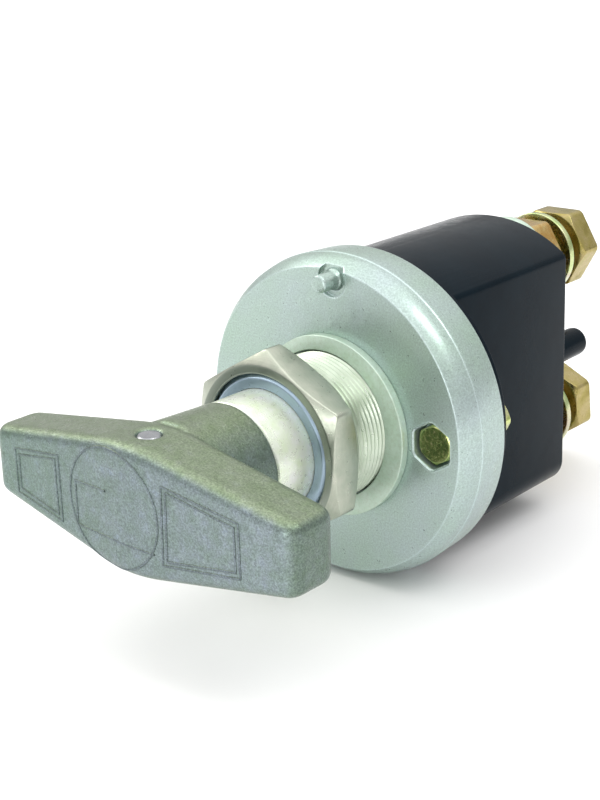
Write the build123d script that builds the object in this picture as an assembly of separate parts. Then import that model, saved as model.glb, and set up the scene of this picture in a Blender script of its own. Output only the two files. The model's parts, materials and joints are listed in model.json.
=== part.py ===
"""Heavy-duty battery master switch with a T-handle, for a panel hole.

Frame: millimetres, +Z up. The origin is on the switch axis, in the plane of the
mounting flange's flat front face. -Y points out of the panel towards the handle,
+Y points back to the terminals, +X is to the right when looking at the handle.
Angles are measured in the XZ plane from +X towards +Z. Turning the handle on
turns it clockwise for the user, which is positive about +Y.
"""
from build123d import *
import math
import os

# ---------------------------------------------------------------- driving sizes
# mounting flange, a die-cast dish
FLANGE_FACE_R = 42.05
FLANGE_RIM_R = 45.0
FLANGE_BEVEL_DEPTH = 6.3
FLANGE_BEVEL_BULGE = 0.7
FLANGE_STEP = 0.2
FLANGE_REAR_R = 44.5
FLANGE_DEPTH = 16.8
FLANGE_PLATE = 8.0
FLANGE_CAVITY_R = 42.0

# threaded bush, M40 x 1.5
BUSH_R = 20.0
BUSH_FRONT_Y = -25.6
BUSH_SHOULDER_R = 24.0
BUSH_REAR_Y = 10.5
BUSH_BORE_R = 16.28
BUSH_THREAD_PITCH = 1.5
BUSH_THREAD_DEPTH = 0.85
BUSH_THREAD_START_Y = -24.4
BUSH_THREAD_TURNS = 14

# clamp nut and washer in front of the panel
CLAMP_NUT_AF = 46.0
CLAMP_NUT_FRONT_Y = -26.0
CLAMP_NUT_REAR_Y = -16.2
CLAMP_NUT_BORE_R = 20.05
CLAMP_NUT_FACE_R = 22.6
WASHER_R = 24.9
WASHER_BORE_R = 20.4
WASHER_THICK = 2.5
WASHER_SHIFT_X = 1.2
WASHER_SHIFT_Z = -0.3

# locating pin in its shallow recess
LOCATOR_X = 2.0
LOCATOR_Z = 39.2
LOCATOR_R = 2.4
LOCATOR_ROOT_R = 3.0
LOCATOR_FRONT_Y = -5.5
LOCATOR_REAR_Y = 7.0
LOCATOR_RECESS_R = 4.6
LOCATOR_RECESS_DEPTH = 1.2

# two M6 bolts that hold the flange and the housing together
BOLT_X = 33.3
BOLT_R = 3.0
BOLT_HOLE_R = 3.2
BOLT_AF = 10.0
BOLT_HEAD_FRONT_Y = 1.6
BOLT_HEAD_THICK = 4.0
BOLT_END_Y = 31.2
BOLT_POCKET_AF = 11.3
BOLT_WASHER_R = 6.0
BOLT_WASHER_THICK = 1.4
BOLT_NUT_THICK = 5.0

# housing, a moulded cup with two flat sides
GASKET_THICK = 1.0
HOUSING_R = 41.7
HOUSING_FLAT_X = 25.5
HOUSING_FLANGE_REAR_Y = 22.0
HOUSING_REAR_Y = 76.0
HOUSING_WALL = 4.0
HOUSING_REAR_WALL = 7.0
HOUSING_TOP_FILLET = 3.0
HOUSING_BOTTOM_FILLET = 7.0
HOUSING_RECESS_R = 25.0
HOUSING_RECESS_DEPTH = 2.5
STUD_BOSS_R = 12.4
STUD_BOSS_HEIGHT = 6.5
SEPARATOR_X = 14.8
SEPARATOR_R = 4.3
SEPARATOR_END_Y = 99.4

# shaft and handle
SHAFT_R = 16.2
SHAFT_FRONT_Y = -38.4
SHAFT_NECK_R = 12.0
SHAFT_DRIVE_R = 8.0
SHAFT_DRIVE_FLAT = 6.0
SHAFT_NECK_END_Y = 13.55
SHAFT_END_Y = 24.8
SPIGOT_R = 8.0
SPIGOT_END_Y = -71.0
HANDLE_HALF_LENGTH = 50.4
HANDLE_MID_HALF_HEIGHT = 17.6
HANDLE_END_HALF_HEIGHT = 8.8
HANDLE_FRONT_MID_Y = -75.3
HANDLE_FRONT_END_Y = -72.3
HANDLE_BACK_Y = -57.0
HANDLE_HUB_REAR_R = 16.4
HANDLE_HUB_FRONT_R = 17.2
HANDLE_EDGE_FILLET = 3.2
HANDLE_CORNER_FILLET = 4.4
HANDLE_WAIST_FILLET = 55.0
HANDLE_TURN = 1.6
CROSS_PIN_Y = -65.5
CROSS_PIN_R = 3.0
CROSS_PIN_CHAMFER = 0.4
CROSS_PIN_HALF_LENGTH = 16.4
CROSS_PIN_RECESS_R = 3.6
CROSS_PIN_RECESS_FLOOR = 16.2

# shaft seal, retaining ring and detents
SEAL_Y = -18.6
SEAL_GROOVE_WIDTH = 2.8
SEAL_GROOVE_R = 13.8
SEAL_SECTION_R = 1.18
THRUST_WASHER_R = 17.4
THRUST_WASHER_THICK = 1.5
RING_GROOVE_R = 11.2
RING_OUTER_R = 15.0
RING_FRONT_Y = 12.1
RING_THICK = 1.2
DETENT_Y = 4.0
DETENT_BALL_R = 2.4
DETENT_HOLE_R = 2.5
DETENT_TRACK_R = 2.55
DETENT_CENTRE = 18.0
DETENT_HOLE_END = 30.0
DETENT_POCKET_EXTRA = 0.5
DETENT_ANGLES = (45, 225)

# stop pin between the bush and the flange, and the cam it stops
STOP_ANGLE = 100
STOP_PIN_R = 1.5
STOP_PIN_CENTRE = 19.2
STOP_PIN_FRONT_Y = 3.0
STOP_PIN_REAR_Y = 17.5
SWITCH_ANGLE = 90
CAM_FRONT_Y = 13.6
CAM_DISC_REAR_Y = 19.0
CAM_DISC_R = 20.8
CAM_NOTCH_R = 17.2
CAM_NOTCH_MARGIN = 5.7
CAM_HUB_R = 10.3
CAM_HUB_REAR_Y = 25.0
CAM_RAMP_STARTS = (15, 195)
CAM_RAMP_SPAN = 120
CAM_RAMP_RISE = 8.0
CAM_RAMP_INNER_R = 9.5
CAM_RAMP_OUTER_R = 15.0
CAM_RAMP_STEP = 15
FOLLOWER_SPAN = 30
FOLLOWER_GAP = 0.05
FOLLOWER_INNER_R = 10.8
FOLLOWER_OUTER_R = 14.8

# contact carrier, its rods and spring
CARRIER_FRONT_Y = 27.5
CARRIER_REAR_Y = 34.0
CARRIER_HALF_X = 20.7
CARRIER_HALF_Z = 22.5
CARRIER_RECESS_R = 9.9
CARRIER_RECESS_DEPTH = 3.5
CARRIER_POST_Z = 15.0
CARRIER_POST_R = 4.2
ROD_X = 17.0
ROD_R = 2.5
ROD_FRONT_Y = 27.2
ROD_REAR_Y = 74.0
SPRING_SEAT_R = 6.2
SPRING_SEAT_HEIGHT = 3.0
SPRING_MEAN_R = 7.5
SPRING_WIRE_R = 1.0
SPRING_TURNS = 6.5

# contacts and terminals
BRIDGE_FRONT_Y = 47.9
BRIDGE_THICK = 5.0
BRIDGE_HALF_WIDTH = 10.0
BRIDGE_HALF_LENGTH = 33.0
BRIDGE_CENTRE_R = 14.3
BRIDGE_HOLE_R = 9.5
BRIDGE_SCREW_R = 2.0
BRIDGE_SCREW_HEAD_R = 3.8
TIP_R = 5.5
MOVING_TIP_THICK = 1.5
FIXED_TIP_FRONT_Y = 60.5
FIXED_TIP_THICK = 2.0
STUD_Z = 25.5
STUD_R = 7.0
STUD_HEAD_R = 10.5
STUD_END_Y = 119.6
STUD_THREAD_START_Y = 85.1
STUD_THREAD_PITCH = 2.0
STUD_THREAD_DEPTH = 1.1
STUD_THREAD_TURNS = 15
STUD_NUT_AF = 22.0
STUD_NUT_BORE_R = 7.05
LOWER_NUT_CORNER = 34
BASE_WASHER_R = 14.0
BASE_WASHER_THICK = 2.5
JAM_NUT_THICK = 11.0
SPRING_WASHER_FRONT_Y = 98.6
SPRING_WASHER_THICK = 2.6
SPRING_WASHER_R = 12.6
SPRING_WASHER_BORE_R = 7.4
SPRING_WASHER_SLIT = 1.4
OUTER_NUT_FRONT_Y = 106.8
OUTER_NUT_THICK = 8.0

GASKET_REAR_Y = FLANGE_PLATE + GASKET_THICK
CAVITY_REAR_Y = HOUSING_REAR_Y - HOUSING_REAR_WALL
FIXED_HEAD_FRONT_Y = FIXED_TIP_FRONT_Y + FIXED_TIP_THICK
BRIDGE_REAR_Y = BRIDGE_FRONT_Y + BRIDGE_THICK
BASE_WASHER_FRONT_Y = HOUSING_REAR_Y + STUD_BOSS_HEIGHT
JAM_NUT_FRONT_Y = BASE_WASHER_FRONT_Y + BASE_WASHER_THICK
NUT_CHAMFER_SLOPE = math.tan(math.radians(30))


# ---------------------------------------------------------------- helpers
def at_angle(degrees, radius):
    """X and Z of a point at an angle and radius about the switch axis."""
    return radius * math.cos(math.radians(degrees)), radius * math.sin(math.radians(degrees))


def turned(points, x=0.0, z=0.0):
    """Solid of revolution about a line along Y through (x, z), from (radius, y) points."""
    outline = make_face(Polyline(*points, close=True))
    return Pos(x, 0, z) * revolve(outline, axis=Axis.Y)


def rod(radius, y_front, y_rear, x=0.0, z=0.0):
    """Plain cylinder along Y."""
    return turned([(0, y_front), (radius, y_front), (radius, y_rear), (0, y_rear)], x, z)


def ring(inner_r, outer_r, y_front, y_rear, x=0.0, z=0.0):
    """Plain tube along Y."""
    return turned([(inner_r, y_front), (outer_r, y_front), (outer_r, y_rear), (inner_r, y_rear)], x, z)


def prism(sketch, y_front, y_rear):
    """Extrude a sketch drawn in X and Z from y_front back to y_rear."""
    front = Plane(origin=(0, y_front, 0), x_dir=(1, 0, 0), z_dir=(0, -1, 0))
    return extrude(front * sketch, amount=-(y_rear - y_front))


def hexagon(across_flats, first_corner):
    """Hexagon sketch with one corner at the given angle."""
    return RegularPolygon(across_flats / math.sqrt(3), 6, rotation=first_corner)


def nut(across_flats, bore_r, y_front, y_rear, x, z, first_corner, face_r):
    """Hexagon nut with a 30 degree chamfer at both ends."""
    corner_r = across_flats / math.sqrt(3) + 0.5
    drop = (corner_r - face_r) * NUT_CHAMFER_SLOPE
    blank = Pos(x, 0, z) * prism(hexagon(across_flats, first_corner), y_front, y_rear)
    envelope = turned(
        [
            (bore_r, y_front),
            (face_r, y_front),
            (corner_r, y_front + drop),
            (corner_r, y_rear - drop),
            (face_r, y_rear),
            (bore_r, y_rear),
        ],
        x,
        z,
    )
    return blank & envelope


def thread_points(radius, depth, pitch, y_start, turns):
    """Outline of V-shaped rings that stand for a thread, from front to rear."""
    crest = pitch / 8
    points = []
    for turn in range(turns):
        y = y_start + turn * pitch
        points += [(radius, y), (radius - depth, y + (pitch - crest) / 2), (radius, y + pitch - crest)]
    return points


def double_d(radius, half_width):
    """Circle cut by two flats that face +X and -X."""
    return Circle(radius) & Rectangle(2 * half_width, 2 * radius)


def coil(mean_r, wire_r, turns, length):
    """Open compression spring standing on the XY plane, along +Z."""
    path = Helix(pitch=length / turns, height=length, radius=mean_r)
    start = Plane(origin=path @ 0, z_dir=path % 0)
    return sweep(start * Circle(wire_r), path, is_frenet=True)


def polar_loft(sections):
    """Ruled solid through radial rectangles: (angle, inner_r, outer_r, y_front, y_rear)."""
    wires = []
    for angle, inner_r, outer_r, y_front, y_rear in sections:
        x_in, z_in = at_angle(angle, inner_r)
        x_out, z_out = at_angle(angle, outer_r)
        corners = [
            (x_in, y_front, z_in),
            (x_out, y_front, z_out),
            (x_out, y_rear, z_out),
            (x_in, y_rear, z_in),
        ]
        wires.append(Wire.make_polygon(corners, close=True))
    return Solid.make_loft(wires, ruled=True)


def as_group(solids):
    """Several separate solids written as one node."""
    return Compound(children=[piece for solid in solids for piece in solid.solids()])


# ---------------------------------------------------------------- front parts
def handle_bar():
    """Diamond-tapered bar with a shallow V front and rounded ends."""
    outline = Polygon(
        (-HANDLE_HALF_LENGTH, -HANDLE_END_HALF_HEIGHT),
        (0, -HANDLE_MID_HALF_HEIGHT),
        (HANDLE_HALF_LENGTH, -HANDLE_END_HALF_HEIGHT),
        (HANDLE_HALF_LENGTH, HANDLE_END_HALF_HEIGHT),
        (0, HANDLE_MID_HALF_HEIGHT),
        (-HANDLE_HALF_LENGTH, HANDLE_END_HALF_HEIGHT),
        align=None,
    )
    outline = fillet(outline.vertices().filter_by(is_on_centre), HANDLE_WAIST_FILLET)
    bar = prism(outline, HANDLE_FRONT_MID_Y, HANDLE_BACK_Y)
    plan = Polygon(
        (-HANDLE_HALF_LENGTH, HANDLE_FRONT_END_Y),
        (0, HANDLE_FRONT_MID_Y),
        (HANDLE_HALF_LENGTH, HANDLE_FRONT_END_Y),
        (HANDLE_HALF_LENGTH, HANDLE_BACK_Y),
        (-HANDLE_HALF_LENGTH, HANDLE_BACK_Y),
        align=None,
    )
    plan = fillet(plan.vertices().filter_by(is_on_centre), HANDLE_WAIST_FILLET)
    bar = bar & extrude(plan, amount=HANDLE_MID_HALF_HEIGHT, both=True)
    ends = [e for e in bar.edges().filter_by(Axis.Z) if abs(e.center().X) > HANDLE_HALF_LENGTH - 1]
    bar = fillet(ends, HANDLE_CORNER_FILLET)
    rims = [e for e in bar.edges() if abs(e.center().Z) > HANDLE_END_HALF_HEIGHT - 1]
    return fillet(rims, HANDLE_EDGE_FILLET)


def is_on_centre(vertex):
    return abs(vertex.X) < 0.1


def t_handle():
    """Die-cast T-handle: the bar on a round hub, bored for the shaft's spigot."""
    hub = turned(
        [
            (0, SHAFT_FRONT_Y),
            (HANDLE_HUB_REAR_R - 0.6, SHAFT_FRONT_Y),
            (HANDLE_HUB_REAR_R, SHAFT_FRONT_Y - 0.6),
            (HANDLE_HUB_FRONT_R, HANDLE_BACK_Y - 1),
            (0, HANDLE_BACK_Y - 1),
        ]
    )
    body = handle_bar() + hub
    body -= rod(SPIGOT_R + 0.03, SPIGOT_END_Y - 0.3, SHAFT_FRONT_Y)
    body -= Pos(0, CROSS_PIN_Y, 0) * Cylinder(CROSS_PIN_R, 3 * CROSS_PIN_HALF_LENGTH)
    recess = Cylinder(CROSS_PIN_RECESS_R, 5, align=(Align.CENTER, Align.CENTER, Align.MIN))
    body -= Pos(0, CROSS_PIN_Y, CROSS_PIN_RECESS_FLOOR) * recess
    body -= Pos(0, CROSS_PIN_Y, -CROSS_PIN_RECESS_FLOOR) * Rot(180, 0, 0) * recess
    return Rot(0, HANDLE_TURN, 0) * body


def handle_cross_pin():
    """Plain driven pin through the hub and the shaft's spigot."""
    pin = Cylinder(CROSS_PIN_R - 0.02, 2 * CROSS_PIN_HALF_LENGTH)
    pin = chamfer(pin.edges().filter_by(GeomType.CIRCLE), CROSS_PIN_CHAMFER)
    return Rot(0, HANDLE_TURN, 0) * Pos(0, CROSS_PIN_Y, 0) * pin


def drive_shaft():
    """Plated shaft: spigot, journal with seal and detent grooves, ring groove and drive end."""
    groove_front = SEAL_Y - SEAL_GROOVE_WIDTH / 2
    groove_rear = SEAL_Y + SEAL_GROOVE_WIDTH / 2
    ring_rear = RING_FRONT_Y + RING_THICK + 0.05
    shaft = turned(
        [
            (0, SPIGOT_END_Y),
            (SPIGOT_R - 1, SPIGOT_END_Y),
            (SPIGOT_R, SPIGOT_END_Y + 1),
            (SPIGOT_R, SHAFT_FRONT_Y),
            (SHAFT_R - 0.4, SHAFT_FRONT_Y),
            (SHAFT_R, SHAFT_FRONT_Y + 0.4),
            (SHAFT_R, groove_front),
            (SEAL_GROOVE_R, groove_front),
            (SEAL_GROOVE_R, groove_rear),
            (SHAFT_R, groove_rear),
            (SHAFT_R, BUSH_REAR_Y),
            (SHAFT_NECK_R, BUSH_REAR_Y),
            (SHAFT_NECK_R, RING_FRONT_Y - 0.05),
            (RING_GROOVE_R, RING_FRONT_Y - 0.05),
            (RING_GROOVE_R, ring_rear),
            (SHAFT_NECK_R, ring_rear),
            (SHAFT_NECK_R, SHAFT_NECK_END_Y),
            (0, SHAFT_NECK_END_Y),
        ]
    )
    shaft += prism(double_d(SHAFT_DRIVE_R, SHAFT_DRIVE_FLAT), SHAFT_NECK_END_Y - 1, SHAFT_END_Y)
    track = revolve(Pos(DETENT_CENTRE, DETENT_Y) * Circle(DETENT_TRACK_R), axis=Axis.Y)
    shaft -= track
    for quarter in range(4):
        x, z = at_angle(DETENT_ANGLES[0] + 90 * quarter, DETENT_CENTRE - DETENT_POCKET_EXTRA)
        shaft -= Pos(x, DETENT_Y, z) * Sphere(DETENT_TRACK_R)
    shaft -= Rot(0, HANDLE_TURN, 0) * Pos(0, CROSS_PIN_Y, 0) * Cylinder(CROSS_PIN_R, 3 * SPIGOT_R)
    shaft -= rod(BOLT_R, SHAFT_END_Y - 14, SHAFT_END_Y)
    return shaft


def shaft_seal_ring():
    """O-ring in the shaft's groove."""
    centre_r = SEAL_GROOVE_R + SEAL_SECTION_R + 0.02
    return revolve(Pos(centre_r, SEAL_Y) * Circle(SEAL_SECTION_R), axis=Axis.Y)


def thrust_washer():
    """Washer between the bush and the retaining ring."""
    front = BUSH_REAR_Y + 0.05
    return ring(SHAFT_NECK_R + 0.1, THRUST_WASHER_R, front, front + THRUST_WASHER_THICK)


def shaft_retaining_ring():
    """Open circlip in the shaft's rear groove."""
    body = ring(RING_GROOVE_R + 0.02, RING_OUTER_R, RING_FRONT_Y, RING_FRONT_Y + RING_THICK)
    gap = Pos(0, RING_FRONT_Y, -RING_OUTER_R) * Box(8, 4 * RING_THICK, 2 * RING_OUTER_R)
    return body - gap


def detent_direction(angle):
    """Plane whose normal points away from the switch axis at an angle."""
    x, z = at_angle(angle, 1)
    return Plane(origin=(0, DETENT_Y, 0), x_dir=(0, 1, 0), z_dir=(x, 0, z))


def detent_holes():
    """Radial holes for the detent balls and springs, from inside the bush outwards."""
    hole = Cylinder(DETENT_HOLE_R, DETENT_HOLE_END, align=(Align.CENTER, Align.CENTER, Align.MIN))
    return [detent_direction(angle) * hole for angle in DETENT_ANGLES]


def detent_balls():
    balls = []
    for angle in DETENT_ANGLES:
        x, z = at_angle(angle, DETENT_CENTRE)
        balls.append(Pos(x, DETENT_Y, z) * Sphere(DETENT_BALL_R))
    return as_group(balls)


def detent_springs():
    wire_r = 0.3
    start = DETENT_CENTRE + DETENT_BALL_R + wire_r
    length = DETENT_HOLE_END - wire_r - start
    spring = Pos(0, 0, start) * coil(DETENT_HOLE_R - 0.6, wire_r, 7, length)
    return as_group([detent_direction(angle) * spring for angle in DETENT_ANGLES])


def stop_pin(clearance=0.0):
    x, z = at_angle(STOP_ANGLE, STOP_PIN_CENTRE)
    return rod(STOP_PIN_R + clearance, STOP_PIN_FRONT_Y - clearance, STOP_PIN_REAR_Y, x, z)


def threaded_bush():
    """Bush with a thread for the clamp nut and a shoulder behind the flange plate."""
    thread = thread_points(
        BUSH_R, BUSH_THREAD_DEPTH, BUSH_THREAD_PITCH, BUSH_THREAD_START_Y, BUSH_THREAD_TURNS
    )
    outline = [
        (BUSH_BORE_R, BUSH_FRONT_Y),
        (BUSH_R - 1.1, BUSH_FRONT_Y),
        (BUSH_R, BUSH_FRONT_Y + 1.1),
        *thread,
        (BUSH_R, FLANGE_PLATE),
        (BUSH_SHOULDER_R, FLANGE_PLATE),
        (BUSH_SHOULDER_R, BUSH_REAR_Y),
        (BUSH_BORE_R, BUSH_REAR_Y),
    ]
    bush = turned(outline)
    for hole in detent_holes():
        bush -= hole
    return bush - stop_pin(0.01)


def mounting_flange():
    """Dish with a bevelled face, hexagonal bolt pockets and the locator's recess."""
    bevel_start = (FLANGE_FACE_R, 0)
    bevel_end = (FLANGE_RIM_R - FLANGE_STEP, FLANGE_BEVEL_DEPTH)
    run = bevel_end[0] - bevel_start[0]
    slant = math.hypot(run, FLANGE_BEVEL_DEPTH)
    bevel_mid = (
        (bevel_start[0] + bevel_end[0]) / 2 + FLANGE_BEVEL_BULGE * FLANGE_BEVEL_DEPTH / slant,
        FLANGE_BEVEL_DEPTH / 2 - FLANGE_BEVEL_BULGE * run / slant,
    )
    rest = Polyline(
        bevel_end,
        (FLANGE_RIM_R, FLANGE_BEVEL_DEPTH + FLANGE_STEP),
        (FLANGE_REAR_R, FLANGE_DEPTH),
        (FLANGE_CAVITY_R, FLANGE_DEPTH),
        (FLANGE_CAVITY_R, FLANGE_PLATE),
        (BUSH_R, FLANGE_PLATE),
        (BUSH_R, 0),
        bevel_start,
    )
    flange = revolve(make_face([ThreePointArc(bevel_start, bevel_mid, bevel_end), rest]), axis=Axis.Y)
    pocket_floor = BOLT_HEAD_FRONT_Y + BOLT_HEAD_THICK
    for side in (-1, 1):
        flange -= Pos(side * BOLT_X, 0, 0) * prism(hexagon(BOLT_POCKET_AF, 30), -1, pocket_floor)
        flange -= rod(BOLT_HOLE_R, 0, FLANGE_PLATE, side * BOLT_X)
    flange -= rod(LOCATOR_RECESS_R, -1, LOCATOR_RECESS_DEPTH, LOCATOR_X, LOCATOR_Z)
    flange -= rod(LOCATOR_ROOT_R, 0, LOCATOR_REAR_Y, LOCATOR_X, LOCATOR_Z)
    for hole in detent_holes():
        flange -= hole
    return flange - stop_pin(0.01)


def locating_pin():
    """Round-nosed dowel that stops the switch turning in its panel."""
    nose = 0.6
    return turned(
        [
            (0, LOCATOR_FRONT_Y),
            (LOCATOR_R - nose, LOCATOR_FRONT_Y),
            (LOCATOR_R, LOCATOR_FRONT_Y + nose),
            (LOCATOR_R, 0),
            (LOCATOR_ROOT_R, 0),
            (LOCATOR_ROOT_R, LOCATOR_REAR_Y),
            (0, LOCATOR_REAR_Y),
        ],
        LOCATOR_X,
        LOCATOR_Z,
    )


def clamp_nut():
    return nut(
        CLAMP_NUT_AF, CLAMP_NUT_BORE_R, CLAMP_NUT_FRONT_Y, CLAMP_NUT_REAR_Y, 0, 0, 30, CLAMP_NUT_FACE_R
    )


def panel_washer():
    """Close-fitting washer whose rim stands off centre from the thread."""
    edge = 0.3
    disc = turned(
        [
            (0, -WASHER_THICK),
            (WASHER_R - edge, -WASHER_THICK),
            (WASHER_R, -WASHER_THICK + edge),
            (WASHER_R, 0),
            (0, 0),
        ],
        WASHER_SHIFT_X,
        WASHER_SHIFT_Z,
    )
    return disc - rod(WASHER_BORE_R, -WASHER_THICK, 0)


# ---------------------------------------------------------------- flange bolts and housing
def flange_bolts():
    seat = BOLT_HEAD_FRONT_Y + BOLT_HEAD_THICK
    bolts = []
    for side in (-1, 1):
        head = nut(BOLT_AF, 0, BOLT_HEAD_FRONT_Y, seat, side * BOLT_X, 0, 30, BOLT_AF / 2 - 0.2)
        bolts.append(head + rod(BOLT_R, seat, BOLT_END_Y, side * BOLT_X))
    return as_group(bolts)


def flange_bolt_washers():
    rear = HOUSING_FLANGE_REAR_Y + BOLT_WASHER_THICK
    return as_group(
        [ring(BOLT_HOLE_R, BOLT_WASHER_R, HOUSING_FLANGE_REAR_Y, rear, side * BOLT_X) for side in (-1, 1)]
    )


def flange_bolt_nuts():
    front = HOUSING_FLANGE_REAR_Y + BOLT_WASHER_THICK
    rear = front + BOLT_NUT_THICK
    return as_group(
        [
            nut(BOLT_AF, BOLT_R + 0.02, front, rear, side * BOLT_X, 0, 0, BOLT_AF / 2 - 0.2)
            for side in (-1, 1)
        ]
    )


def cavity(y_front, y_rear):
    """Space inside the housing."""
    inner = double_d(HOUSING_R - HOUSING_WALL, HOUSING_FLAT_X - HOUSING_WALL)
    return prism(inner, y_front, y_rear)


def housing_gasket():
    gasket = rod(HOUSING_R - 0.2, FLANGE_PLATE, GASKET_REAR_Y) - rod(HOUSING_RECESS_R, 0, HOUSING_REAR_Y)
    gasket -= cavity(0, HOUSING_REAR_Y)
    for side in (-1, 1):
        gasket -= rod(BOLT_HOLE_R + 0.2, 0, HOUSING_REAR_Y, side * BOLT_X)
    return gasket


def housing_body():
    """Double-D column with sharper corners above and rounder ones below."""
    body = prism(double_d(HOUSING_R, HOUSING_FLAT_X), GASKET_REAR_Y, HOUSING_REAR_Y)
    corners = [
        e for e in body.edges().filter_by(Axis.Y)
        if abs(abs(e.center().X) - HOUSING_FLAT_X) < 0.1
    ]
    upper = [e for e in corners if e.center().Z > 0]
    body = fillet(upper, HOUSING_TOP_FILLET)
    lower = [
        e for e in body.edges().filter_by(Axis.Y)
        if abs(abs(e.center().X) - HOUSING_FLAT_X) < 0.1 and e.center().Z < -10
    ]
    body = fillet(lower, HOUSING_BOTTOM_FILLET)
    rear_edges = [e for e in body.edges() if e.center().Y > HOUSING_REAR_Y - 0.01]
    return fillet(rear_edges, 0.6)


def switch_housing():
    """Moulded cup: round bolting flange, double-D body, stud bosses and separator post."""
    housing = rod(HOUSING_R, GASKET_REAR_Y, HOUSING_FLANGE_REAR_Y) + housing_body()
    for side in (-1, 1):
        housing += rod(STUD_BOSS_R, CAVITY_REAR_Y, BASE_WASHER_FRONT_Y, 0, side * STUD_Z)
    dome = 1.6
    housing += turned(
        [
            (0, CAVITY_REAR_Y),
            (SEPARATOR_R + 0.2, CAVITY_REAR_Y),
            (SEPARATOR_R + 0.2, HOUSING_REAR_Y),
            (SEPARATOR_R, SEPARATOR_END_Y - dome),
            (SEPARATOR_R - dome * 0.3, SEPARATOR_END_Y - dome * 0.3),
            (SEPARATOR_R - dome, SEPARATOR_END_Y),
            (0, SEPARATOR_END_Y),
        ],
        SEPARATOR_X,
    )
    housing -= cavity(GASKET_REAR_Y, CAVITY_REAR_Y)
    housing -= rod(HOUSING_RECESS_R, GASKET_REAR_Y, GASKET_REAR_Y + HOUSING_RECESS_DEPTH)
    housing += rod(SPRING_SEAT_R, CAVITY_REAR_Y - SPRING_SEAT_HEIGHT, CAVITY_REAR_Y)
    for side in (-1, 1):
        housing -= rod(BOLT_HOLE_R, GASKET_REAR_Y, HOUSING_FLANGE_REAR_Y, side * BOLT_X)
        housing -= rod(STUD_R + 0.02, CAVITY_REAR_Y, BASE_WASHER_FRONT_Y, 0, side * STUD_Z)
        housing -= rod(ROD_R, CAVITY_REAR_Y, ROD_REAR_Y, side * ROD_X)
    return housing


# ---------------------------------------------------------------- mechanism
def cam_height(angle, start):
    """Y of the cam ramp's surface at an angle."""
    return CAM_DISC_REAR_Y + CAM_RAMP_RISE * (angle - start) / CAM_RAMP_SPAN


def drive_cam():
    """Face cam with two helical ramps and a notch that the stop pin limits."""
    cam = rod(CAM_DISC_R, CAM_FRONT_Y, CAM_DISC_REAR_Y) + rod(CAM_HUB_R, CAM_FRONT_Y, CAM_HUB_REAR_Y)
    for start in CAM_RAMP_STARTS:
        angles = range(start, start + CAM_RAMP_SPAN + 1, CAM_RAMP_STEP)
        root_y = CAM_DISC_REAR_Y - 1
        cam += polar_loft(
            [(a, CAM_RAMP_INNER_R, CAM_RAMP_OUTER_R, root_y, cam_height(a, start)) for a in angles]
        )
    first = STOP_ANGLE - CAM_NOTCH_MARGIN
    last = STOP_ANGLE + SWITCH_ANGLE + CAM_NOTCH_MARGIN
    steps = 8
    notch_angles = [first + (last - first) * step / steps for step in range(steps + 1)]
    cam -= polar_loft(
        [(a, CAM_NOTCH_R, CAM_DISC_R + 2, CAM_FRONT_Y - 1, CAM_DISC_REAR_Y + 1) for a in notch_angles]
    )
    bore = double_d(SHAFT_DRIVE_R + 0.05, SHAFT_DRIVE_FLAT + 0.05)
    return cam - prism(bore, CAM_FRONT_Y, CAM_HUB_REAR_Y)


def cam_retaining_washer():
    return ring(3.2, CAM_HUB_R - 0.9, CAM_HUB_REAR_Y, CAM_HUB_REAR_Y + 1.5)


def cam_retaining_screw():
    head_front = CAM_HUB_REAR_Y + 1.5
    head = nut(BOLT_AF, 0, head_front, head_front + BOLT_HEAD_THICK, 0, 0, 0, BOLT_AF / 2 - 0.2)
    return head + rod(BOLT_R - 0.02, SHAFT_END_Y - 12, head_front)


def contact_carrier():
    """Sliding insulator: cam follower lugs, guide holes, spring seat and bridge posts."""
    outline = RectangleRounded(2 * CARRIER_HALF_X, 2 * CARRIER_HALF_Z, 3)
    carrier = prism(outline, CARRIER_FRONT_Y, CARRIER_REAR_Y)
    for start in CAM_RAMP_STARTS:
        angles = range(start, start + FOLLOWER_SPAN + 1, CAM_RAMP_STEP)
        carrier += polar_loft(
            [
                (
                    a,
                    FOLLOWER_INNER_R,
                    FOLLOWER_OUTER_R,
                    cam_height(a, start) + FOLLOWER_GAP,
                    CARRIER_FRONT_Y + 1,
                )
                for a in angles
            ]
        )
    carrier -= rod(CARRIER_RECESS_R, CARRIER_FRONT_Y, CARRIER_FRONT_Y + CARRIER_RECESS_DEPTH)
    carrier += rod(SPRING_SEAT_R, CARRIER_REAR_Y, CARRIER_REAR_Y + SPRING_SEAT_HEIGHT)
    for side in (-1, 1):
        carrier += rod(CARRIER_POST_R, CARRIER_REAR_Y, BRIDGE_FRONT_Y, 0, side * CARRIER_POST_Z)
        carrier -= rod(BRIDGE_SCREW_R, BRIDGE_FRONT_Y - 8, BRIDGE_FRONT_Y, 0, side * CARRIER_POST_Z)
        carrier -= rod(ROD_R + 0.06, CARRIER_FRONT_Y, CARRIER_REAR_Y, side * ROD_X)
    return carrier


def guide_rods():
    return as_group([rod(ROD_R, ROD_FRONT_Y, ROD_REAR_Y, side * ROD_X) for side in (-1, 1)])


def return_spring():
    """Compression spring from the carrier to the housing's rear wall."""
    length = CAVITY_REAR_Y - CARRIER_REAR_Y - 2 * SPRING_WIRE_R - 0.1
    spring = coil(SPRING_MEAN_R, SPRING_WIRE_R, SPRING_TURNS, length)
    front = CARRIER_REAR_Y + SPRING_WIRE_R + 0.05
    return Plane(origin=(0, front, 0), x_dir=(1, 0, 0), z_dir=(0, 1, 0)) * spring


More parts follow.
